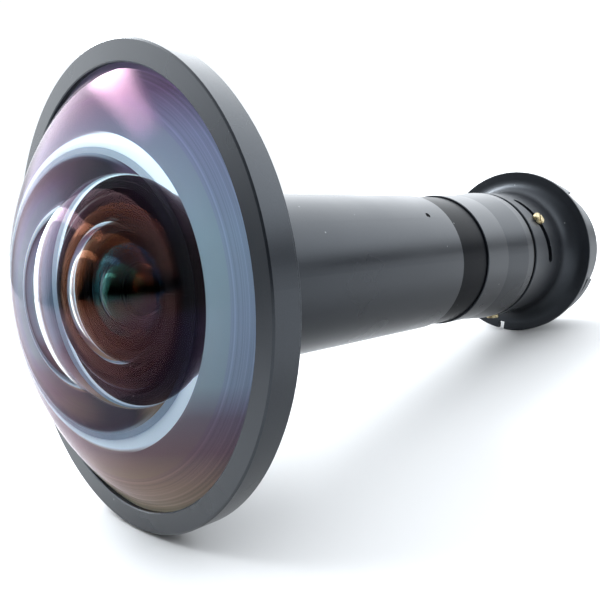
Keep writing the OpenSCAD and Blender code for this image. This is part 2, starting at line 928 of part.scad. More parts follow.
// Rear relay glass
module relay_rear_lens() {
    color(crystal) stand()
        meniscus(relay_r, relay_rear_front, relay_rear_back, relay_rear_rise,
            relay_r - relay_rim_w, relay_hollow_depth, lens_land);
}

// Ring that closes the relay cell
module relay_ring() {
    color(inner_black) stand()
        spanner_ring(relay_r - retainer_wall, relay_r, relay_rear_back,
            relay_rear_back + retainer_t, relay_rear_back + retainer_t);
}

// Grub screws that lock the barrel on the inner tube
module barrel_grub_screws() {
    color(dark_steel) stand() ring_of(grub_count, grub_angle)
        radial(grub_z) difference() {
            rod(grub_d / 2, tube_spigot_r + thread_gap, barrel_r - grub_sink);
            translate([0, 0, barrel_r - grub_d / 2])
                cylinder(r = grub_d / 4, h = grub_d, $fn = hex);
        }
}

// The tube that carries the barrel, the tail glasses and the guide screws
module inner_tube() {
    color(inner_black) stand() difference() {
        turned([
            [tube_bore_r - spacer_wall, tube_start],
            [tube_spigot_r, tube_start],
            [tube_spigot_r, barrel_end],
            [tube_collar_r, barrel_end],
            [tube_collar_r, tube_collar_end - edge_break],
            [tube_collar_r - edge_break, tube_collar_end],
            [tube_r, tube_collar_end],
            [tube_r, tube_end],
            [tube_bore_r, tube_end],
            [tube_bore_r, tube_ledge_end],
            [tube_bore_r - spacer_wall, tube_ledge_end]
        ]);
        ring_of(guide_count, guide_angle)
            radial(guide_z)
                rod(guide_thread_d / 2 + thread_gap, tube_bore_r - overrun, tube_r + overrun);
    }
}

// Spacers and glasses inside the inner tube
module field_spacer() {
    color(inner_black) stand()
        band(tube_lens_r - spacer_wall, tube_lens_r, tube_ledge_end, field_front);
}

module field_lens() {
    color(crystal) stand()
        biconvex(tube_lens_r, field_front, field_back, tube_lens_rise, tube_lens_rise);
}

module middle_spacer() {
    color(inner_black) stand()
        band(tube_lens_r - spacer_wall, tube_lens_r, field_back, middle_front);
}

module middle_lens() {
    color(crystal) stand()
        biconvex(tube_lens_r, middle_front, middle_back, tube_lens_rise, tube_lens_rise);
}

module tail_spacer() {
    color(inner_black) stand()
        band(tube_lens_r - spacer_wall, tube_lens_r, middle_back, tail_front);
}

module tail_lens() {
    color(crystal) stand()
        biconvex(tube_lens_r, tail_front, tail_back, tube_lens_rise, tube_lens_rise);
}

// Ring that closes the stack in the inner tube
module tail_ring() {
    color(inner_black) stand()
        spanner_ring(tube_lens_r - retainer_wall, tube_lens_r, tail_back,
            tail_back + retainer_t, tail_back + retainer_t);
}

// Brass guide screws that run in the helical slots
module guide_screws() {
    color(brass) stand() ring_of(guide_count, guide_angle)
        radial(guide_z) difference() {
            union() {
                rod(guide_thread_d / 2, guide_tip, guide_thread_top);
                rod(guide_r, guide_thread_top, guide_head_z);
                rod(guide_head_d / 2, guide_head_z, guide_head_z + guide_head_t - edge_break);
                translate([0, 0, guide_head_z + guide_head_t - edge_break])
                    cylinder(r1 = guide_head_d / 2, r2 = guide_head_d / 2 - edge_break, h = edge_break);
            }
            translate([0, 0, guide_head_z + guide_head_t - driver_slot_depth])
                rotate([0, 0, driver_slot_turn])
                    translate([-guide_head_d, -driver_slot_w / 2, 0])
                        cube([2 * guide_head_d, driver_slot_w, guide_head_t]);
        }
}

// Cell that holds the rear glass behind the inner tube
module rear_cell() {
    color(inner_black) stand() turned([
        [rear_thread_r, rear_cell_front],
        [rear_cell_r - edge_break, rear_cell_front],
        [rear_cell_r, rear_cell_front + edge_break],
        [rear_cell_r, rear_cell_end - edge_break],
        [rear_cell_r - edge_break, rear_cell_end],
        [rear_bore_r, rear_cell_end],
        [rear_bore_r, rear_front],
        [rear_ledge_r, rear_front],
        [rear_ledge_r, tube_end],
        [rear_thread_r, tube_end]
    ]);
}

// Rear glass
module rear_lens() {
    color(crystal) stand()
        biconvex(rear_r, rear_front, rear_back, rear_front_rise, rear_back_rise);
}

// Ring that clamps the rear glass
module rear_retaining_ring() {
    color(inner_black) stand()
        spanner_ring(rear_r - retainer_wall, rear_r, rear_back, rear_back + retainer_t,
            rear_back + retainer_t);
}

// The turning sleeve, with a skirt that drives the guide screws round
module focus_ring() {
    slot_front = guide_z - forward_travel - guide_r - slot_end_gap;
    slot_back = guide_z + back_travel + guide_r + slot_end_gap;
    slot_w = guide_d + 2 * skirt_slot_gap;
    color(anodised) stand() difference() {
        turned([
            [collar_clear_r, grip_start],
            [grip_front_r - edge_break, grip_start],
            [grip_front_r, grip_start + edge_break],
            [grip_front_r, grip_taper_start],
            [grip_rear_r, grip_taper_end],
            [grip_rear_r, grip_end - edge_break],
            [grip_rear_r - edge_break, grip_end],
            [skirt_r, grip_end],
            [skirt_r, retainer_front],
            [skirt_thread_r, retainer_front],
            [skirt_thread_r, retainer_end],
            [skirt_bore_r, retainer_end],
            [skirt_bore_r, collar_bore_end],
            [collar_clear_r, collar_bore_end]
        ]);
        ring_of(guide_count, guide_angle)
            translate([skirt_bore_r - overrun, -slot_w / 2, slot_front])
                cube([skirt_wall + 2 * overrun, slot_w, slot_back - slot_front]);
    }
}

// Threaded ring that keeps the focus ring in the neck
module ring_retainer() {
    color(inner_black) stand()
        spanner_ring(skirt_thread_r + thread_gap, ring_retainer_r, retainer_front,
            retainer_end, retainer_end);
}

// Washer between the focus ring and the neck
module thrust_washer() {
    color(polymer) stand()
        band(neck_bore_r, washer_r, grip_end + washer_face_gap, neck_front - washer_face_gap);
}

// Stations along one helical slot, each [angle, half width]
function slot_stations() =
    let (
        end_turn = slot_half_w / neck_r * 180 / PI,
        low = guide_angle - focus_back_turn - slot_end_turn,
        high = guide_angle + focus_forward_turn + slot_end_turn
    )
    concat(
        [for (a = end_angles) [low - end_turn * cos(a), slot_half_w * sin(a)]],
        [for (i = [0 : slot_steps]) [low + (high - low) * i / slot_steps, slot_half_w]],
        [for (i = [1 : len(end_angles)])
            let (a = end_angles[len(end_angles) - i])
            [high + end_turn * cos(a), slot_half_w * sin(a)]]
    );

// Place of the slot's middle line at an angle
function slot_z(angle) = guide_z + (guide_angle - angle) * travel_per_degree;

// Four corners of the cutter at one station
function slot_corners(station, inner_r, outer_r) =
    let (
        c = cos(-station[0]),
        s = sin(-station[0]),
        z = slot_z(station[0]),
        w = station[1]
    )
    [
        [inner_r * c, inner_r * s, z - w],
        [outer_r * c, outer_r * s, z - w],
        [outer_r * c, outer_r * s, z + w],
        [inner_r * c, inner_r * s, z + w]
    ];

// The cutter of one helical slot
module slot_cutter() {
    stations = slot_stations();
    last = len(stations) - 1;
    points = [for (s = stations) each slot_corners(s, neck_bore_r - overrun, neck_r + overrun)];
    walls = [for (k = [0 : last - 1], j = [0 : 3])
        let (a = 4 * k + j, b = 4 * k + (j + 1) % 4)
        each [[a, b + 4, b], [a, a + 4, b + 4]]];
    caps = [[0, 1, 2], [0, 2, 3], [4 * last + 2, 4 * last + 1, 4 * last],
        [4 * last + 3, 4 * last + 2, 4 * last]];
    polyhedron(points = points, faces = concat(walls, caps));
}

// The fixed neck with its helical slots and the flange that seats on the projector
module mount_flange() {
    color(anodised) stand() difference() {
        rotate_extrude() difference() {
            polygon([
                [neck_bore_r, neck_front],
                [neck_r - edge_break, neck_front],
                [neck_r, neck_front + edge_break],
                [neck_r, flange_front - neck_fillet],
                [neck_r + neck_fillet, flange_front - neck_fillet],
                [neck_r + neck_fillet, flange_front],
                [flange_r - flange_break, flange_front],
                [flange_r, flange_front + flange_break],
                [flange_r, seat_z - flange_break],
                [flange_r - flange_break, seat_z],
                [land_r, seat_z],
                [land_r, flange_back],
                [spigot_thread_r + thread_gap, flange_back],
                [spigot_thread_r + thread_gap, spigot_front],
                [retainer_well_r, spigot_front],
                [retainer_well_r, shoulder_z],
                [neck_bore_r, shoulder_z]
            ]);
            translate([neck_r + neck_fillet, flange_front - neck_fillet])
                circle(r = neck_fillet);
        }
        ring_of(guide_count)
            slot_cutter();
        rotate([0, 0, -notch_angle])
            translate([flange_r - notch_depth, -notch_w / 2, flange_front - overrun])
                cube([2 * notch_depth, notch_w, flange_t + land_t + 2 * overrun]);
    }
}

// The rear spigot with its pilot and bayonet lugs
module rear_spigot() {
    color(anodised) stand() union() {
        turned([
            [spigot_bore_r, spigot_front],
            [spigot_thread_r, spigot_front],
            [spigot_thread_r, flange_back],
            [spigot_r, flange_back],
            [spigot_r, pilot_front],
            [pilot_r, pilot_front],
            [pilot_r, spigot_end - spigot_chamfer],
            [pilot_r - spigot_chamfer, spigot_end],
            [spigot_bore_r + spigot_chamfer, spigot_end],
            [spigot_bore_r, spigot_end - spigot_chamfer]
        ]);
        ring_of(lug_count, lug_angle + lug_span / 2)
            rotate_extrude(angle = lug_span)
                translate([spigot_r - overrun, lug_front])
                    square([lug_r - spigot_r + overrun, lug_t]);
    }
}

hood_ring();
front_gasket();
front_meniscus();
hood_shell();
hood_screws();
front_cell();
cell_screws();
second_meniscus();
second_retaining_ring();
third_meniscus();
third_retaining_ring();
fourth_lens();
cell_spacer();
fifth_crown();
fifth_flint();
cell_rear_ring();
main_barrel();
stop_spacer();
aperture_stop();
relay_cell();
relay_front_lens();
relay_spacer();
relay_rear_lens();
relay_ring();
barrel_grub_screws();
inner_tube();
field_spacer();
field_lens();
middle_spacer();
middle_lens();
tail_spacer();
tail_lens();
tail_ring();
guide_screws();
rear_cell();
rear_lens();
rear_retaining_ring();
focus_ring();
ring_retainer();
thrust_washer();
mount_flange();
rear_spigot();
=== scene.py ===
import math

import bmesh
import bpy
from mathutils import Matrix, Vector


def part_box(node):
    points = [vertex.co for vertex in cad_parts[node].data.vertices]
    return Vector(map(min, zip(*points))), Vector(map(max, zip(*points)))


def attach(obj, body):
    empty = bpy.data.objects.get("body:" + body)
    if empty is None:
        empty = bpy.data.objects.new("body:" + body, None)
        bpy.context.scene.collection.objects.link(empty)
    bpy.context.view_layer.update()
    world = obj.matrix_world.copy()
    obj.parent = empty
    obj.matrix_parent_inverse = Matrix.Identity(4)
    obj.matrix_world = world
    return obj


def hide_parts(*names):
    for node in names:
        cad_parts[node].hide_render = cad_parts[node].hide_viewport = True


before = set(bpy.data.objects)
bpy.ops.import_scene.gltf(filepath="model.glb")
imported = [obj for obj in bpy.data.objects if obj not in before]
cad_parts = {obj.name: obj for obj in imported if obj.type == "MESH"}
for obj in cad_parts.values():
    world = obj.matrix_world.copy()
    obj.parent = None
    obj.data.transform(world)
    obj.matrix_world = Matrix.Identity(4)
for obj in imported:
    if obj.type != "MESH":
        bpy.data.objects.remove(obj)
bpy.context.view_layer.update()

# Front ring. Turned from aluminium, bead blasted and anodised black, and held to the shell by
# eight screws from behind. Its blasted skin glints in fine specks and its edges have worn bright.
MM = 0.001
BLACK_DYE = (0.002, 0.0024, 0.0036)
PALE_DYE = (0.006, 0.007, 0.0096)
BARE_METAL = (0.045, 0.048, 0.055)
DUST_GREY = (0.16, 0.165, 0.17)
DYE_SHEEN = (0.82, 0.9, 1.0, 1)
SKIN_RELIEF = 0.03 * MM
WEAR_PER_METRE = 700.0


def add(tree, kind, **settings):
    """A shader node with its properties and the values of its unlinked sockets set."""
    node = tree.nodes.new(kind)
    for key, value in settings.items():
        if hasattr(node, key):
            setattr(node, key, value)
        else:
            node.inputs[key.replace("_", " ")].default_value = value
    return node


def link(tree, source, target):
    tree.links.new(source, target)


def ramp(tree, source, *stops):
    """A colour ramp over a value; each stop is a position and a grey level or a colour."""
    node = add(tree, "ShaderNodeValToRGB")
    bar = node.color_ramp.elements
    while len(bar) < len(stops):
        bar.new(0.5)
    for element, (position, shade) in zip(bar, stops):
        element.position = position
        element.color = (*shade, 1) if isinstance(shade, tuple) else (shade, shade, shade, 1)
    link(tree, source, node.inputs["Fac"])
    return node.outputs["Color"]


def fade(tree, source, start, end, low, high):
    """A soft step from low to high as the source goes from start to end."""
    node = add(
        tree, "ShaderNodeMapRange", interpolation_type="SMOOTHSTEP",
        From_Min=start, From_Max=end, To_Min=low, To_Max=high,
    )
    link(tree, source, node.inputs["Value"])
    return node.outputs[0]


def blend(tree, amount, under, over, how="MIX"):
    """Lays one colour over another; each is a colour or a node's output."""
    node = add(tree, "ShaderNodeMix", data_type="RGBA", blend_type=how)
    link(tree, amount, node.inputs["Factor"])
    for socket, tone in ((node.inputs[6], under), (node.inputs[7], over)):
        if isinstance(tone, tuple):
            socket.default_value = (*tone, 1)
        else:
            link(tree, tone, socket)
    return node.outputs[2]


def new_group(name, inputs, outputs):
    """An empty shader node group with number inputs and outputs."""
    group = bpy.data.node_groups.new(name, "ShaderNodeTree")
    for label, value in inputs.items():
        socket = group.interface.new_socket(label, in_out="INPUT", socket_type="NodeSocketFloat")
        socket.default_value = value
    for label in outputs:
        group.interface.new_socket(label, in_out="OUTPUT", socket_type="NodeSocketFloat")
    return group, group.nodes.new("NodeGroupInput"), group.nodes.new("NodeGroupOutput")


def make_turned_skin():
    """Masks of a turned surface: lathe rings, blasting specks, handling marks and dust."""
    group, entry, leave = new_group(
        "turned_skin",
        {
            "Rings per metre": 3000.0, "Specks per metre": 2400.0, "Marks per metre": 16.0,
            "Dust per metre": 90.0,
        },
        ("Rings", "Specks", "Marks", "Dust", "Radius", "Depth", "Height"),
    )
    place = add(group, "ShaderNodeTexCoord")
    split = add(group, "ShaderNodeSeparateXYZ")
    link(group, place.outputs["Object"], split.inputs[0])
    across = add(group, "ShaderNodeCombineXYZ")
    link(group, split.outputs["X"], across.inputs["X"])
    link(group, split.outputs["Z"], across.inputs["Z"])
    radius = add(group, "ShaderNodeVectorMath", operation="LENGTH")
    link(group, across.outputs[0], radius.inputs[0])
    turned_place = add(group, "ShaderNodeCombineXYZ")
    link(group, radius.outputs["Value"], turned_place.inputs["X"])
    link(group, split.outputs["Y"], turned_place.inputs["Y"])
    for label, vector, detail in (
        ("Rings", turned_place.outputs[0], 1.5),
        ("Specks", place.outputs["Object"], 1.0),
        ("Marks", place.outputs["Object"], 3.0),
    ):
        noise = add(group, "ShaderNodeTexNoise", Detail=detail)
        link(group, vector, noise.inputs["Vector"])
        link(group, entry.outputs[label + " per metre"], noise.inputs["Scale"])
        link(group, noise.outputs["Fac"], leave.inputs[label])
    grains = add(group, "ShaderNodeTexVoronoi")
    link(group, place.outputs["Object"], grains.inputs["Vector"])
    link(group, entry.outputs["Dust per metre"], grains.inputs["Scale"])
    link(group, fade(group, grains.outputs["Distance"], 0.02, 0.05, 1.0, 0.0), leave.inputs["Dust"])
    link(group, radius.outputs["Value"], leave.inputs["Radius"])
    link(group, split.outputs["Y"], leave.inputs["Depth"])
    link(group, split.outputs["Z"], leave.inputs["Height"])
    return group


turned_skin = make_turned_skin()


def make_edge_wear():
    """A ragged mask along one turned edge, where the black has rubbed off."""
    group, entry, leave = new_group(
        "edge_wear", {"Edge radius": 0.0, "Edge depth": 0.0, "Width": MM}, ("Bare",)
    )
    skin = add(group, "ShaderNodeGroup", node_tree=turned_skin)
    skin.inputs["Marks per metre"].default_value = WEAR_PER_METRE
    away = add(group, "ShaderNodeCombineXYZ")
    for label, edge, axis in (("Radius", "Edge radius", "X"), ("Depth", "Edge depth", "Y")):
        gap = add(group, "ShaderNodeMath", operation="SUBTRACT")
        link(group, skin.outputs[label], gap.inputs[0])
        link(group, entry.outputs[edge], gap.inputs[1])
        link(group, gap.outputs[0], away.inputs[axis])
    reach = add(group, "ShaderNodeVectorMath", operation="LENGTH")
    link(group, away.outputs[0], reach.inputs[0])
    part = add(group, "ShaderNodeMath", operation="DIVIDE")
    link(group, reach.outputs["Value"], part.inputs[0])
    link(group, entry.outputs["Width"], part.inputs[1])
    ragged = add(group, "ShaderNodeMath", operation="MULTIPLY")
    link(group, fade(group, part.outputs[0], 0.2, 1.0, 1.0, 0.0), ragged.inputs[0])
    link(group, fade(group, skin.outputs["Marks"], 0.4, 0.62, 0.1, 1.0), ragged.inputs[1])
    link(group, ragged.outputs[0], leave.inputs["Bare"])
    return group


edge_wear = make_edge_wear()


def material(name):
    """A material with only its Principled shader, its tree and that shader."""
    made = bpy.data.materials.new(name)
    made.use_nodes = True
    return made, made.node_tree, made.node_tree.nodes["Principled BSDF"]


def black_skin(name, rough, blast, relief, rings, edges=(), shine=0.42, dyes=(BLACK_DYE, PALE_DYE)):
    """Black on a turned piece. blast shares the relief between lathe rings and blasting specks.

    rings is how many noise cells a metre holds. Each worn edge is a radius, a place along the axis
    and a width.
    """
    made, tree, shader = material(name)
    skin = add(tree, "ShaderNodeGroup", node_tree=turned_skin)
    skin.inputs["Rings per metre"].default_value = rings
    tone = ramp(tree, skin.outputs["Specks"], (0.35, dyes[0]), (0.68, dyes[1]))
    for radius, place, width in edges:
        wear = add(
            tree, "ShaderNodeGroup", node_tree=edge_wear,
            Edge_radius=radius, Edge_depth=place, Width=width,
        )
        tone = blend(tree, wear.outputs["Bare"], tone, BARE_METAL)
    link(tree, blend(tree, skin.outputs["Dust"], tone, DUST_GREY), shader.inputs["Base Color"])
    handled = ramp(tree, skin.outputs["Marks"], (0.3, rough * 0.85), (0.7, rough * 1.15))
    link(tree, handled, shader.inputs["Roughness"])
    height = add(tree, "ShaderNodeMix", data_type="FLOAT", Factor=blast)
    link(tree, skin.outputs["Rings"], height.inputs[2])
    link(tree, skin.outputs["Specks"], height.inputs[3])
    bump = add(tree, "ShaderNodeBump", Strength=relief, Distance=SKIN_RELIEF)
    link(tree, height.outputs[0], bump.inputs["Height"])
    link(tree, bump.outputs["Normal"], shader.inputs["Normal"])
    shader.inputs["Specular IOR Level"].default_value = shine
    shader.inputs["Specular Tint"].default_value = DYE_SHEEN
    return made


def ends_of(node):
    """Largest radius of a turned node and where it begins and ends along the axis."""
    low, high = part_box(node)
    return high[0], low[1], high[1]


def dress(finish, *nodes):
    """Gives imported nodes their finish."""
    for node in nodes:
        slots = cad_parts[node].data.materials
        slots.clear()
        slots.append(finish)


ring_r, ring_front, ring_back = ends_of("hood_ring")
ring_black = black_skin(
    "ring_black", rough=0.29, blast=0.9, relief=0.5, rings=3000.0, shine=0.5,
    edges=((ring_r, ring_front, 0.35 * MM), (ring_r, ring_back, 0.6 * MM)),
)
dress(ring_black, "hood_ring")

# Gasket under the ring's lip. Moulded nitrile rubber, dull and black, pressed between the lip
# and the front glass so that the ring doesn't chip it.
rubber, rubber_tree, rubber_shader = material("gasket_rubber")
rubber_skin = add(rubber_tree, "ShaderNodeGroup", node_tree=turned_skin)
rubber_tone = ramp(rubber_tree, rubber_skin.outputs["Specks"], (0.3, 0.006), (0.7, 0.014))
link(rubber_tree, rubber_tone, rubber_shader.inputs["Base Color"])
rubber_bloom = ramp(rubber_tree, rubber_skin.outputs["Marks"], (0.3, 0.6), (0.7, 0.8))
link(rubber_tree, rubber_bloom, rubber_shader.inputs["Roughness"])
rubber_grain = add(rubber_tree, "ShaderNodeBump", Strength=0.4, Distance=0.04 * MM)
link(rubber_tree, rubber_skin.outputs["Specks"], rubber_grain.inputs["Height"])
link(rubber_tree, rubber_grain.outputs["Normal"], rubber_shader.inputs["Normal"])
dress(rubber, "front_gasket")

# Front glass. A thick meniscus of crown glass with a deep hollow behind, polished and given an
# antireflection film. It drops into the ring's bore and rests on the shell's turned seat.
GLASS_RIM_R = 83 * MM
GLASS_TURNS = 192
GLASS_STEPS = 40
SEAT_AIR = 0.03 * MM
ON_AXIS = 1e-7
SHARP_TURN = math.radians(25)
FILM_BEND = 1.38


def along(depth):
    """Place on the optical axis of what lies so far behind the front ring's face."""
    return ring_front + depth


def sweep(reach):
    """Equal steps of angle from the axis out to the rim of a curved face."""
    return [reach * step / GLASS_STEPS for step in range(GLASS_STEPS + 1)]


def dome(rim_r, front, height):
    """Points from the top of a spherical face to its rim, as radius and depth."""
    ball = (rim_r**2 + height**2) / (2 * height)
    middle = front - height + ball
    turns = sweep(math.asin(rim_r / ball))
    return [(ball * math.sin(turn), middle - ball * math.cos(turn)) for turn in turns]


def bowl(rim_r, rim, depth, centre):
    """Points of an aspheric hollow, part of an ellipse whose centre lies so far behind its rim."""
    high = depth + centre
    wide = rim_r / math.sqrt(1 - (centre / high) ** 2)
    middle = rim + centre
    turns = sweep(math.acos(centre / high))
    return [(wide * math.sin(turn), middle - high * math.cos(turn)) for turn in turns]


def meniscus(rim_r, front, back, height, hollow_r, hollow_depth, centre):
    """Profile of a glass with a domed front, a ground edge and a hollow in its flat back."""
    back -= SEAT_AIR
    hollow = [(r, z, 0) for r, z in bowl(hollow_r, back, hollow_depth, centre)]
    face = [(r, z, 0) for r, z in reversed(dome(rim_r, front, height))]
    return [*hollow, (rim_r, back, 2), (rim_r, front, 1), *face[1:]]


def turned(name, profile, finishes, *replaced):
    """A closed profile turned round the axis. Each point names radius, depth and finish."""
    mesh = bpy.data.meshes.new(name)
    shape = bmesh.new()
    circles = []
    for radius, depth, _ in profile:
        if radius < ON_AXIS:
            circles.append([shape.verts.new((0, along(depth), 0))] * GLASS_TURNS)
            continue
        circles.append([
            shape.verts.new((radius * math.cos(angle), along(depth), radius * math.sin(angle)))
            for angle in (math.tau * turn / GLASS_TURNS for turn in range(GLASS_TURNS))
        ])
    for index, (near, far) in enumerate(zip(circles, circles[1:])):
        for turn in range(GLASS_TURNS):
            ahead = (turn + 1) % GLASS_TURNS
            corners = []
            for corner in (near[turn], near[ahead], far[ahead], far[turn]):
                if corner not in corners:
                    corners.append(corner)
            if len(corners) > 2:
                face = shape.faces.new(corners)
                face.material_index = profile[index + 1][2]
                face.smooth = True
    bmesh.ops.recalc_face_normals(shape, faces=shape.faces)
    shape.to_mesh(mesh)
    shape.free()
    mesh.set_sharp_from_angle(angle=SHARP_TURN)
    for finish in finishes:
        mesh.materials.append(finish)
    piece = bpy.data.objects.new(name, mesh)
    bpy.context.collection.objects.link(piece)
    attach(piece, "lens_head")
    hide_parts(*replaced)


def coated_glass(name, body, reflected, film_nm, bend):
    """Polished glass with an antireflection film. bend is the glass's index of refraction."""
    made, tree, shader = material(name)
    shader.inputs["Base Color"].default_value = (*body, 1)
    shader.inputs["Roughness"].default_value = 0.0
    shader.inputs["IOR"].default_value = bend
    shader.inputs["Transmission Weight"].default_value = 1.0
    shader.inputs["Specular Tint"].default_value = (*reflected, 1)
    shader.inputs["Thin Film Thickness"].default_value = film_nm
    shader.inputs["Thin Film IOR"].default_value = FILM_BEND
    return made


front_coat = coated_glass(
    "front_coat", body=(0.96, 0.975, 0.99), reflected=(0.33, 0.23, 0.35), film_nm=108, bend=1.6
)

# The front glass's edge is ground and grey. The flat round the hollow is ground fine inside and keeps
# rings from the wheel outside. Both carry a painted glow in their emission, brighter towards the top.
# Colour of a painted pale reflection, for the flat seen edge on.
PAINTED_REFLECTION_PALE = (0.74, 0.88, 0.98)
UNLIT = (0.0, 0.0, 0.0)
WHEEL_INNER_R = 61 * MM
# Radius from which the blackening pales outward into a painted band of reflected light.
PAINTED_BAND_R = 75 * MM
# Heights over which a painted glow grows brighter, and its strength on the edge.
LIT_LOW, LIT_HIGH = -50 * MM, 70 * MM
EDGE_GLOW = 0.45
ground_edge, ground_tree, ground_shader = material("ground_edge")
ground_skin = add(ground_tree, "ShaderNodeGroup", node_tree=turned_skin, Specks_per_metre=1600.0)
ground_tone = ramp(
    ground_tree, ground_skin.outputs["Specks"], (0.35, (0.34, 0.45, 0.56)), (0.65, (0.42, 0.53, 0.64))
)
link(ground_tree, ground_tone, ground_shader.inputs["Base Color"])
ground_shader.inputs["Roughness"].default_value = 0.6


def painted_glow_by_height(tree, height):
    """Painted glow for the glass's ground faces, given as emission colour and strongest at the top.
    """
    upward = fade(tree, height, LIT_LOW, LIT_HIGH, 0.0, 1.0)
    return ramp(tree, upward, (0.0, (0.03, 0.04, 0.06)), (1.0, (0.44, 0.52, 0.56)))


# Painted glow on the ground edge, brighter towards the top.
edge_painted_glow = painted_glow_by_height(ground_tree, ground_skin.outputs["Height"])
link(ground_tree, edge_painted_glow, ground_shader.inputs["Emission Color"])
ground_shader.inputs["Emission Strength"].default_value = EDGE_GLOW

ground_flat, flat_tree, flat_shader = material("ground_flat")
flat_skin = add(flat_tree, "ShaderNodeGroup", node_tree=turned_skin, Rings_per_metre=1400.0)
# Painted reflection hues: the film's coloured reflections, painted into the flat's colour by height,
# olive at the bottom, blue in the middle and purple at the top.
painted_hue_height = fade(flat_tree, flat_skin.outputs["Height"], -GLASS_RIM_R, GLASS_RIM_R, 0.0, 1.0)
painted_hue_height.node.interpolation_type = "LINEAR"
painted_reflection_hues = ramp(
    flat_tree, painted_hue_height, (0.0, (0.5, 0.41, 0.24)), (0.12, (0.32, 0.23, 0.14)),
    (0.2, (0.17, 0.105, 0.11)), (0.27, (0.15, 0.125, 0.155)), (0.33, (0.23, 0.31, 0.36)),
    (0.6, (0.26, 0.37, 0.44)), (0.78, (0.25, 0.29, 0.4)), (0.88, (0.17, 0.11, 0.19)),
    (1.0, (0.14, 0.11, 0.16)),
)
wheel = ramp(
    flat_tree, flat_skin.outputs["Rings"], (0.35, (0.78, 0.76, 0.86)), (0.65, (1.2, 1.1, 1.3))
)
outer = add(flat_tree, "ShaderNodeMath", operation="GREATER_THAN")
link(flat_tree, flat_skin.outputs["Radius"], outer.inputs[0])
outer.inputs[1].default_value = WHEEL_INNER_R
ringed_painted_hues = blend(flat_tree, outer.outputs[0], painted_reflection_hues, wheel, "MULTIPLY")

# Through the glass the flat shows its painted reflection hues straight on and well to the side, and
# only the blackening behind it in between. Past the critical angle it is a painted pale reflection.
# Facing is 0 straight on, 1 edge on.
facing = add(flat_tree, "ShaderNodeLayerWeight", Blend=0.5).outputs["Facing"]
before_hues = fade(flat_tree, facing, 0.10, 0.17, 1.0, 0.0)
off_square = fade(flat_tree, facing, 0.05, 0.08, 0.0, 1.0)
bared = add(flat_tree, "ShaderNodeMath", operation="MULTIPLY")
link(flat_tree, before_hues, bared.inputs[0])
link(flat_tree, off_square, bared.inputs[1])
# The blackening pales towards the rim into a painted band of reflected light.
painted_band_from_edge = fade(flat_tree, flat_skin.outputs["Radius"], PAINTED_BAND_R, GLASS_RIM_R, 0.0, 1.0)
paint_and_painted_band = ramp(
    flat_tree, painted_band_from_edge,
    (0.0, (0.008, 0.014, 0.03)), (0.5, (0.04, 0.06, 0.1)), (1.0, (0.6, 0.75, 0.86)),
)
painted = blend(flat_tree, bared.outputs[0], ringed_painted_hues, paint_and_painted_band)
# Edge on, a painted pale reflection with a painted glow covers the flat.
grazing_painted_reflection = fade(flat_tree, facing, 0.42, 0.56, 0.0, 1.0)
link(flat_tree, blend(flat_tree, grazing_painted_reflection, painted, PAINTED_REFLECTION_PALE), flat_shader.inputs["Base Color"])
# Painted glow on the flat where it turns pale edge on, brighter towards the top.
flat_painted_glow = painted_glow_by_height(flat_tree, flat_skin.outputs["Height"])
link(flat_tree, blend(flat_tree, grazing_painted_reflection, UNLIT, flat_painted_glow), flat_shader.inputs["Emission Color"])
flat_shader.inputs["Emission Strength"].default_value = 1.0
flat_shader.inputs["Roughness"].default_value = 0.35

turned(
    "front_glass",
    meniscus(
        rim_r=GLASS_RIM_R, front=3 * MM, back=10 * MM, height=32.7 * MM,
        hollow_r=50.5 * MM, hollow_depth=31.8 * MM, centre=7 * MM,
    ),
    (front_coat, ground_edge, ground_flat),
    "front_meniscus",
)

# Rear shell of the hood. Turned from one billet, blasted and anodised outside. Its seat under the
# glass keeps the fine grooves of the lathe.
SHELL_CONE_FRONT = 12.3 * MM
shell_r, shell_front, _ = ends_of("hood_shell")
shell_black = black_skin(
    "shell_black", rough=0.32, blast=0.8, relief=0.35, rings=1500.0,
    edges=((shell_r, shell_front, 0.6 * MM), (shell_r, along(SHELL_CONE_FRONT), 0.8 * MM)),
)
dress(shell_black, "hood_shell")

# Screws. Steel turned black by oxide, which has rubbed thin in patches. Eight hold the ring, six
# hold the front cell and three lock the front barrel to the inner tube.
oxide, oxide_tree, oxide_shader = material("black_oxide_steel")
oxide_skin = add(oxide_tree, "ShaderNodeGroup", node_tree=turned_skin, Marks_per_metre=500.0)
oxide_tone = ramp(
    oxide_tree, oxide_skin.outputs["Marks"], (0.4, (0.02, 0.02, 0.023)), (0.7, (0.07, 0.07, 0.075))
)
link(oxide_tree, oxide_tone, oxide_shader.inputs["Base Color"])
oxide_gloss = ramp(oxide_tree, oxide_skin.outputs["Marks"], (0.35, 0.45), (0.7, 0.3))
link(oxide_tree, oxide_gloss, oxide_shader.inputs["Roughness"])
oxide_shader.inputs["Metallic"].default_value = 0.7
dress(oxide, "hood_screws", "cell_screws", "barrel_grub_screws")

# Front cell with its rings and spacer. Aluminium, threaded and anodised, then coated with matt
# black lacquer so that nothing shines between the glasses.
LACQUER = ((0.003, 0.0032, 0.004), (0.007, 0.0075, 0.009))
cell_lacquer = black_skin(
    "cell_lacquer", rough=0.6, blast=0.2, relief=0.2, rings=1200.0, shine=0.06, dyes=LACQUER
)
dress(
    cell_lacquer, "front_cell", "second_retaining_ring", "third_retaining_ring", "cell_spacer",
    "cell_rear_ring",
)

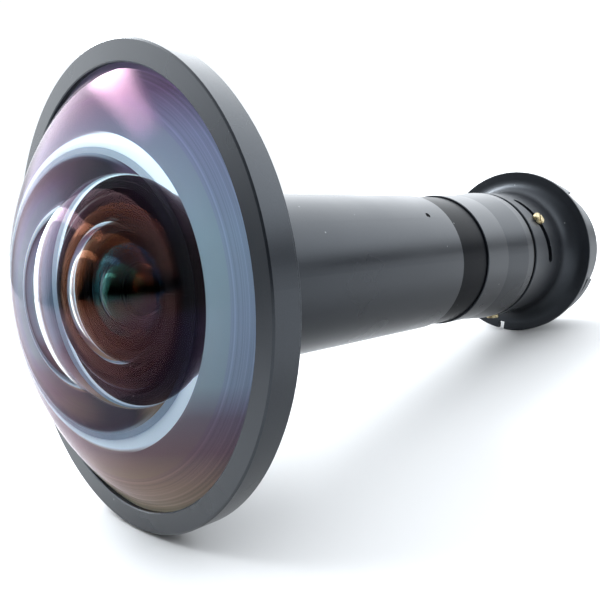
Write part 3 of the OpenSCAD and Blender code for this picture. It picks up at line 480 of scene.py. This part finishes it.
# Second glass. A smaller meniscus in the front cell, behind the first one's hollow. Its film
# reflects orange, and its edge is ground and blackened.
blacked_edge = black_skin(
    "blacked_edge", rough=0.6, blast=0.5, relief=0.05, rings=2000.0, shine=0.0, dyes=LACQUER
)
second_coat = coated_glass(
    "second_coat", body=(0.97, 0.98, 0.98), reflected=(0.4, 0.15, 0.08), film_nm=104, bend=1.5
)
turned(
    "second_glass",
    meniscus(
        rim_r=45 * MM, front=12 * MM, back=17 * MM, height=22.7 * MM,
        hollow_r=33 * MM, hollow_depth=21.6 * MM, centre=14.4 * MM,
    ),
    (second_coat, blacked_edge, blacked_edge),
    "second_meniscus",
)

# Third glass. A small dense meniscus deeper in the cell, polished and given a film that reflects
# green. Its edge is ground and blackened like the second one's, and a threaded ring holds it.
third_coat = coated_glass(
    "third_coat", body=(0.96, 0.97, 0.96), reflected=(0.1, 0.4, 0.42), film_nm=118, bend=1.6
)
turned(
    "third_glass",
    meniscus(
        rim_r=29 * MM, front=22 * MM, back=26 * MM, height=13.4 * MM,
        hollow_r=20 * MM, hollow_depth=12.8 * MM, centre=9.2 * MM,
    ),
    (third_coat, blacked_edge, blacked_edge),
    "third_meniscus",
)

# Fourth lens and the cemented pair behind it, in the cell's narrow bore. Their films give the
# orange and red ghosts deep in the lens.
orange_coat = coated_glass(
    "orange_coat", body=(0.95, 0.96, 0.95), reflected=(0.8, 0.32, 0.1), film_nm=96, bend=1.65
)
red_coat = coated_glass(
    "red_coat", body=(0.95, 0.93, 0.93), reflected=(0.9, 0.15, 0.12), film_nm=100, bend=1.6
)
dress(orange_coat, "fourth_lens")
dress(red_coat, "fifth_crown", "fifth_flint")

# Front barrel. A drawn aluminium tube, turned to a fine even ring pattern, anodised satin black
# and threaded into the shell. The hand that carries the lens has polished it in patches.
barrel_r, _, barrel_back = ends_of("main_barrel")
barrel_black = black_skin(
    "barrel_black", rough=0.3, blast=0.35, relief=0.25, rings=2600.0,
    edges=((barrel_r, barrel_back, 0.5 * MM),),
)
dress(barrel_black, "main_barrel")

# Iris plate and relay glasses. The plate and the cell are turned from aluminium and lacquered
# black inside the front barrel, and spacers and a threaded ring hold the two glasses in the cell.
relay_lacquer = black_skin(
    "relay_lacquer", rough=0.55, blast=0.4, relief=0.4, rings=1600.0, shine=0.08, dyes=LACQUER
)
dress(relay_lacquer, "stop_spacer", "aperture_stop", "relay_cell", "relay_spacer", "relay_ring")
dress(red_coat, "relay_front_lens", "relay_rear_lens")

# Inner tube and its three glasses. The tube slides in the mount's neck, so its outside is
# anodised smooth and keeps a film of grease, and its bore is lacquered.
GREASED_BLACK = ((0.0008, 0.0011, 0.002), (0.0018, 0.0023, 0.0038))
tube_black = black_skin(
    "tube_black", rough=0.32, blast=0.15, relief=0.3, rings=2000.0, shine=0.05, dyes=GREASED_BLACK
)
dress(tube_black, "inner_tube")
dress(relay_lacquer, "field_spacer", "middle_spacer", "tail_spacer", "tail_ring")
dress(orange_coat, "field_lens", "middle_lens", "tail_lens")

# Guide screws. Brass pins with slotted heads. They have tarnished dull and brown in patches, and
# they slide in the focus ring's slots and the neck's helical ones.
brass, brass_tree, brass_shader = material("tarnished_brass")
brass_skin = add(brass_tree, "ShaderNodeGroup", node_tree=turned_skin, Marks_per_metre=450.0)
brass_tone = ramp(
    brass_tree, brass_skin.outputs["Marks"],
    (0.35, (0.22, 0.17, 0.09)), (0.5, (0.46, 0.39, 0.23)), (0.7, (0.62, 0.55, 0.35)),
)
link(brass_tree, brass_tone, brass_shader.inputs["Base Color"])
brass_gloss = ramp(brass_tree, brass_skin.outputs["Marks"], (0.35, 0.5), (0.65, 0.28))
link(brass_tree, brass_gloss, brass_shader.inputs["Roughness"])
brass_grain = add(brass_tree, "ShaderNodeBump", Strength=0.3, Distance=0.03 * MM)
link(brass_tree, brass_skin.outputs["Specks"], brass_grain.inputs["Height"])
link(brass_tree, brass_grain.outputs["Normal"], brass_shader.inputs["Normal"])
brass_shader.inputs["Metallic"].default_value = 1.0
dress(brass, "guide_screws")

# Rear cell with the last glass and its threaded ring. Anodised and blasted dull, because the
# projector's light passes close to it.
rear_black = black_skin("rear_black", rough=0.45, blast=0.7, relief=0.3, rings=2200.0, shine=0.3)
dress(rear_black, "rear_cell", "rear_retaining_ring")
dress(orange_coat, "rear_lens")

# Focus ring and the ring that keeps it on the neck. A thin turned sleeve, anodised satin black,
# with a raised band to turn it by and three straight slots for the guide screws.
sleeve_r, sleeve_front, sleeve_back = ends_of("focus_ring")
sleeve_black = black_skin(
    "sleeve_black", rough=0.3, blast=0.35, relief=0.25, rings=2600.0,
    edges=((sleeve_r, sleeve_front, 0.5 * MM), (sleeve_r, sleeve_back, 0.5 * MM)),
)
dress(sleeve_black, "focus_ring", "ring_retainer")

# Thrust washer. Turned from black acetal, it lies between the focus ring and the mount's neck so
# that they don't grind on each other.
acetal, acetal_tree, acetal_shader = material("black_acetal")
acetal_skin = add(acetal_tree, "ShaderNodeGroup", node_tree=turned_skin, Rings_per_metre=5000.0)
acetal_tone = ramp(acetal_tree, acetal_skin.outputs["Rings"], (0.35, 0.010), (0.65, 0.016))
link(acetal_tree, acetal_tone, acetal_shader.inputs["Base Color"])
acetal_gloss = ramp(acetal_tree, acetal_skin.outputs["Marks"], (0.3, 0.4), (0.7, 0.55))
link(acetal_tree, acetal_gloss, acetal_shader.inputs["Roughness"])
acetal_rings = add(acetal_tree, "ShaderNodeBump", Strength=0.3, Distance=0.02 * MM)
link(acetal_tree, acetal_skin.outputs["Rings"], acetal_rings.inputs["Height"])
link(acetal_tree, acetal_rings.outputs["Normal"], acetal_shader.inputs["Normal"])
dress(acetal, "thrust_washer")

# Mount flange and its neck. One turned piece with three helical slots milled through the neck,
# anodised black. The flange's rim has rubbed bright where it goes into the projector.
flange_r, _, flange_back = ends_of("mount_flange")
flange_black = black_skin(
    "flange_black", rough=0.38, blast=0.45, relief=0.25, rings=2600.0, shine=0.5,
    edges=((flange_r, flange_back, 0.8 * MM),),
)
dress(flange_black, "mount_flange")

# Rear spigot with its three bayonet lugs. It is screwed into the flange, and the end of its pilot
# has lost some of its black.
PILOT_R = 44.1 * MM
_, _, spigot_back = ends_of("rear_spigot")
spigot_black = black_skin(
    "spigot_black", rough=0.34, blast=0.5, relief=0.3, rings=2600.0,
    edges=((PILOT_R, spigot_back, 0.6 * MM),),
)
dress(spigot_black, "rear_spigot")

# Table. A plain white sheet under the lens. The lens lies on the rims of its ring and its flange,
# so the sheet touches both and slopes up towards the flange as the camera sees it.
RING_REST = Vector((0, -0.2874, -0.0900))
FLANGE_REST = Vector((0, -0.0003, -0.0534))
TABLE_HALF = 6
SHEET_GREY = (0.62, 0.62, 0.62, 1)
slope = math.atan2(FLANGE_REST.z - RING_REST.z, FLANGE_REST.y - RING_REST.y)
table_mesh = bpy.data.meshes.new("table_top")
table_shape = bmesh.new()
bmesh.ops.create_grid(table_shape, x_segments=8, y_segments=8, size=TABLE_HALF)
table_shape.to_mesh(table_mesh)
table_shape.free()
table_top = bpy.data.objects.new("table_top", table_mesh)
bpy.context.collection.objects.link(table_top)
table_top.matrix_world = Matrix.Translation(RING_REST) @ Matrix.Rotation(slope, 4, "X")
white_sheet, sheet_tree, sheet_shader = material("white_sheet")
sheet_shader.inputs["Base Color"].default_value = SHEET_GREY
sheet_shader.inputs["Roughness"].default_value = 0.7
table_mesh.materials.append(white_sheet)

# Studio. A pale wall behind the lens, a bright ceiling over it, a dimmer room in front and one
# long window high on the left, all as soft light from the sky. The camera sees it plain white.
WALL_WAY = (-0.727, 0.686, 0.0)
WINDOW_WAY = (-0.62, -0.25, 0.74)
ACROSS_WINDOW = (0.553, 0.527, 0.644)
SEEN_WHITE = 1.12
SKY_TINT = (0.92, 0.96, 1.0, 1)
LAMP_SIZE, LAMP_WATTS = 2.0, 4
LAMP_PLACE, LAMP_AIM = Vector((0.3, -0.2, 1.9)), Vector((0, -0.1, 0))
studio = bpy.data.worlds.new("studio")
bpy.context.scene.world = studio
studio.use_nodes = True
sky = studio.node_tree
toward = add(sky, "ShaderNodeTexCoord").outputs["Generated"]
heading = add(sky, "ShaderNodeSeparateXYZ")
link(sky, toward, heading.inputs[0])


def facing_to(direction):
    """Cosine between a ray of the sky and a direction."""
    node = add(sky, "ShaderNodeVectorMath", operation="DOT_PRODUCT")
    link(sky, toward, node.inputs[0])
    node.inputs[1].default_value = Vector(direction).normalized()
    return node.outputs["Value"]


def reckon(how, *terms):
    """Joins values of the sky by one sum; a term is a node's output or a number."""
    node = add(sky, "ShaderNodeMath", operation=how)
    for socket, term in zip(node.inputs, terms):
        if isinstance(term, float):
            socket.default_value = term
        else:
            link(sky, term, socket)
    return node.outputs[0]


pale_wall = fade(sky, facing_to(WALL_WAY), 0.2, 0.8, 0.15, 1.12)
ceiling = fade(sky, heading.outputs["Z"], 0.02, 0.42, 0.0, 3.6)
rear_half = fade(sky, heading.outputs["Y"], -0.6, 0.5, 0.25, 1.0)
room = reckon("MAXIMUM", pale_wall, reckon("MULTIPLY", ceiling, rear_half))
for direction, brink, core, glow in (
    ((-0.86, -0.34, 0.38), 0.84, 0.97, 2.6),  # Light round the window.
    ((-0.74, -0.67, -0.02), 0.60, 0.92, -0.6),  # Dim side of the room, front left.
    ((0.78, 0.62, -0.1), 0.80, 0.96, -0.9),  # Dark corner, back right.
    ((0.62, -0.78, 0.0), 0.50, 0.90, -0.5),  # Dim side of the room, front right.
):
    room = reckon("ADD", room, fade(sky, facing_to(direction), brink, core, 0.0, glow))
off_window = reckon("ABSOLUTE", facing_to(ACROSS_WINDOW))
window = fade(sky, off_window, 0.02, 0.11, 32.0, 0.0)
window_reach = fade(sky, facing_to(WINDOW_WAY), 0.84, 0.95, 0.0, 1.0)
room = reckon("ADD", room, reckon("MULTIPLY", window, window_reach))
seen = add(sky, "ShaderNodeMix", data_type="FLOAT")
link(sky, add(sky, "ShaderNodeLightPath").outputs["Is Camera Ray"], seen.inputs["Factor"])
link(sky, reckon("MAXIMUM", room, 0.0), seen.inputs[2])
seen.inputs[3].default_value = SEEN_WHITE
link(sky, seen.outputs[0], sky.nodes["Background"].inputs["Strength"])
sky.nodes["Background"].inputs["Color"].default_value = SKY_TINT

sheet_light = bpy.data.lights.new("sheet_light", "AREA")
sheet_light.shape, sheet_light.size, sheet_light.energy = "SQUARE", LAMP_SIZE, LAMP_WATTS
sheet_lamp = bpy.data.objects.new("sheet_light", sheet_light)
bpy.context.collection.objects.link(sheet_lamp)
sheet_lamp.location = LAMP_PLACE
sheet_lamp.rotation_mode = "QUATERNION"
sheet_lamp.rotation_quaternion = (LAMP_AIM - LAMP_PLACE).to_track_quat("-Z", "Y")
sheet_lamp.visible_camera = False

# Camera, where the photograph was taken from, close to the lens, in front of it and to one side.
# Its place and focal length were fitted to the outlines of the ring, the barrel and the flange.
FOCAL_MM, SENSOR_MM = 39.37, 36
camera_data = bpy.data.cameras.new("camera")
camera_data.lens, camera_data.sensor_width = FOCAL_MM, SENSOR_MM
camera_data.clip_start, camera_data.clip_end = 0.01, 50
camera = bpy.data.objects.new("camera", camera_data)
bpy.context.collection.objects.link(camera)
look = Vector((-0.7256, 0.6845, -0.0704)).normalized()
side = Vector((0.688, 0.7218, -0.0742))
side = (side - look * side.dot(look)).normalized()
stand = Vector((0.2252, -0.4149, 0.0096))
turn = Matrix((side, side.cross(look), -look)).transposed().to_4x4()
camera.matrix_world = Matrix.Translation(stand) @ turn
bpy.context.scene.camera = camera
bpy.context.scene.view_settings.view_transform = "Standard"
